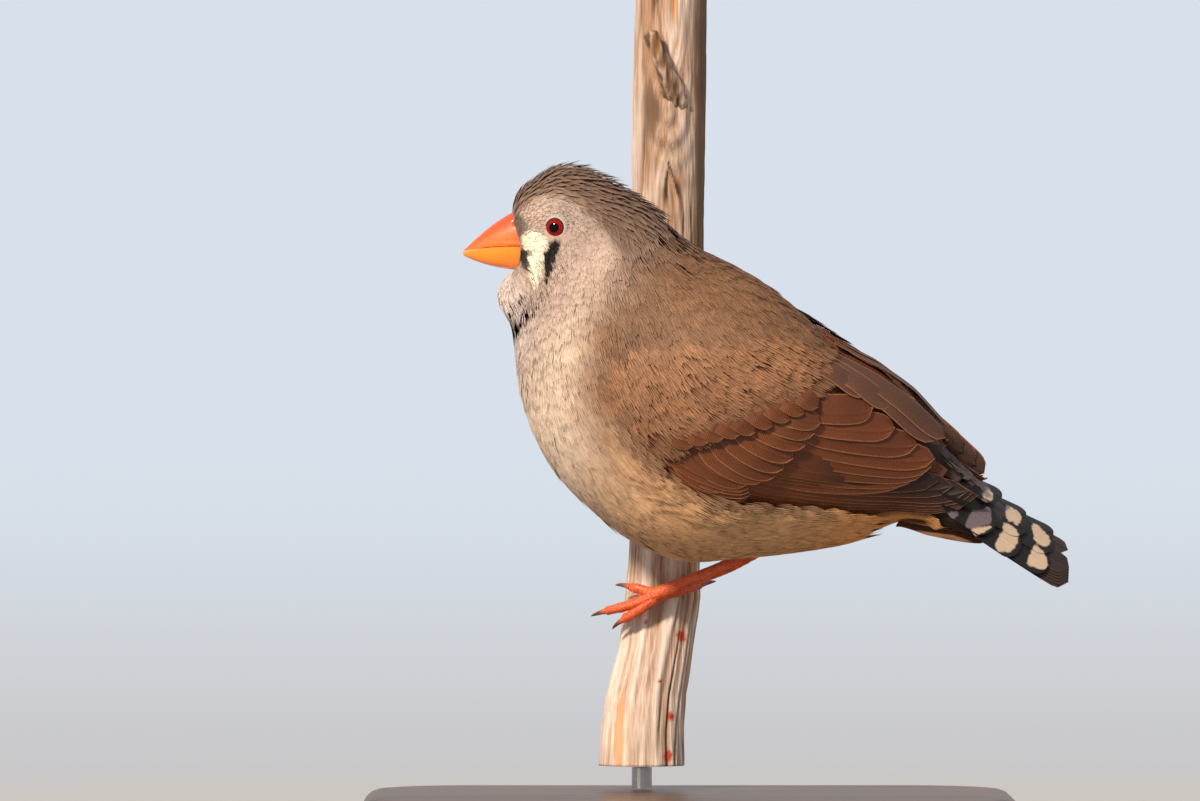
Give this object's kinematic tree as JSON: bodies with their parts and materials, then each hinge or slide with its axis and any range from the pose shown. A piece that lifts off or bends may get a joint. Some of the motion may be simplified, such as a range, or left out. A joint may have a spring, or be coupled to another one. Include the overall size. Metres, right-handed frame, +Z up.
{
  "type": "zebra finch",
  "caption": "Life-size still model of a female zebra finch clinging across an upright length of dead branch, held by a rod on a low wooden base, for display.",
  "frame": {"origin": "middle of the base's flat underside", "axes": "+Z up; +X toward the bird's tail, with the bill at -X; -Y toward the viewer, so the bird's left side faces -Y"},
  "size_m": [0.103, 0.07, 0.13],
  "materials": {
    "head_feathers": "soft, matt, grey-brown feathers",
    "body_feathers": "soft, matt, buff feathers",
    "wing_feathers": "matt brown feathers with paler edges",
    "tail_feathers": "dark feathers with barred black and white coverts",
    "eye": "wet, glossy dark red",
    "bill_horn": "smooth, glossy orange-red horn",
    "bill_horn_lower": "smooth, glossy orange horn",
    "leg_skin": "scaled orange skin, slightly glossy",
    "claw_horn": "semi-gloss horn",
    "dead_wood": "weathered, dry, fissured",
    "stand_wood": "satin, dark, oiled",
    "stand_steel": "brushed, satin"
  },
  "bodies": {
    "root": {"head": "head_feathers", "neck": "head_feathers", "torso": "body_feathers", "wing_left": "wing_feathers", "wing_right": "wing_feathers", "tail": "tail_feathers", "eye_left": "eye", "eye_right": "eye", "bill_upper": "bill_horn", "bill_lower": "bill_horn_lower", "leg_left": "leg_skin", "leg_right": "leg_skin", "perch": "dead_wood", "stand_base": "stand_wood", "stand_rod": "stand_steel", "claw_left_1": "claw_horn", "claw_left_2": "claw_horn", "claw_left_3": "claw_horn", "claw_left_4": "claw_horn", "claw_right_1": "claw_horn", "claw_right_2": "claw_horn", "claw_right_3": "claw_horn", "claw_right_4": "claw_horn"}
  },
  "joints": []
}
